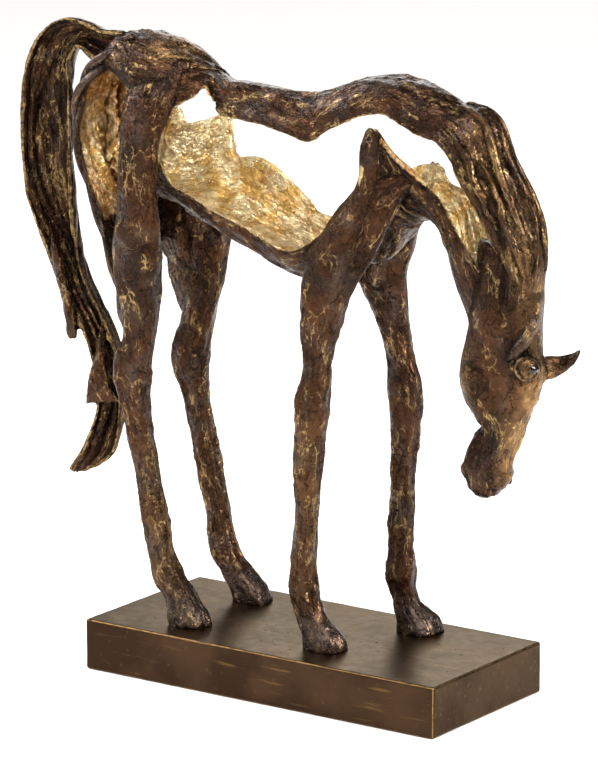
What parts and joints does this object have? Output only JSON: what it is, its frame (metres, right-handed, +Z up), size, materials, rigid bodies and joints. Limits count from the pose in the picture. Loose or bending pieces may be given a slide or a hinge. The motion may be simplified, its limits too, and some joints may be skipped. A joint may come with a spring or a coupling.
{
  "type": "openwork bronze horse sculpture on a plinth",
  "caption": "Openwork cast horse with lowered head, trough-like belly and hollow rump, standing on a rectangular plinth.",
  "frame": {"origin": "middle of the plinth's underside", "axes": "+X towards the horse's head, +Y to the horse's left, +Z up"},
  "size_m": [0.4765, 0.145, 0.4798],
  "materials": {
    "horse_bronze": "dark brown patina with gold rubbed on ridges and gold leaf in the hollows",
    "plinth_bronze": "dark satin bronze with worn gold edges"
  },
  "bodies": {
    "root": {"horse": "horse_bronze", "plinth": "plinth_bronze"}
  },
  "joints": []
}
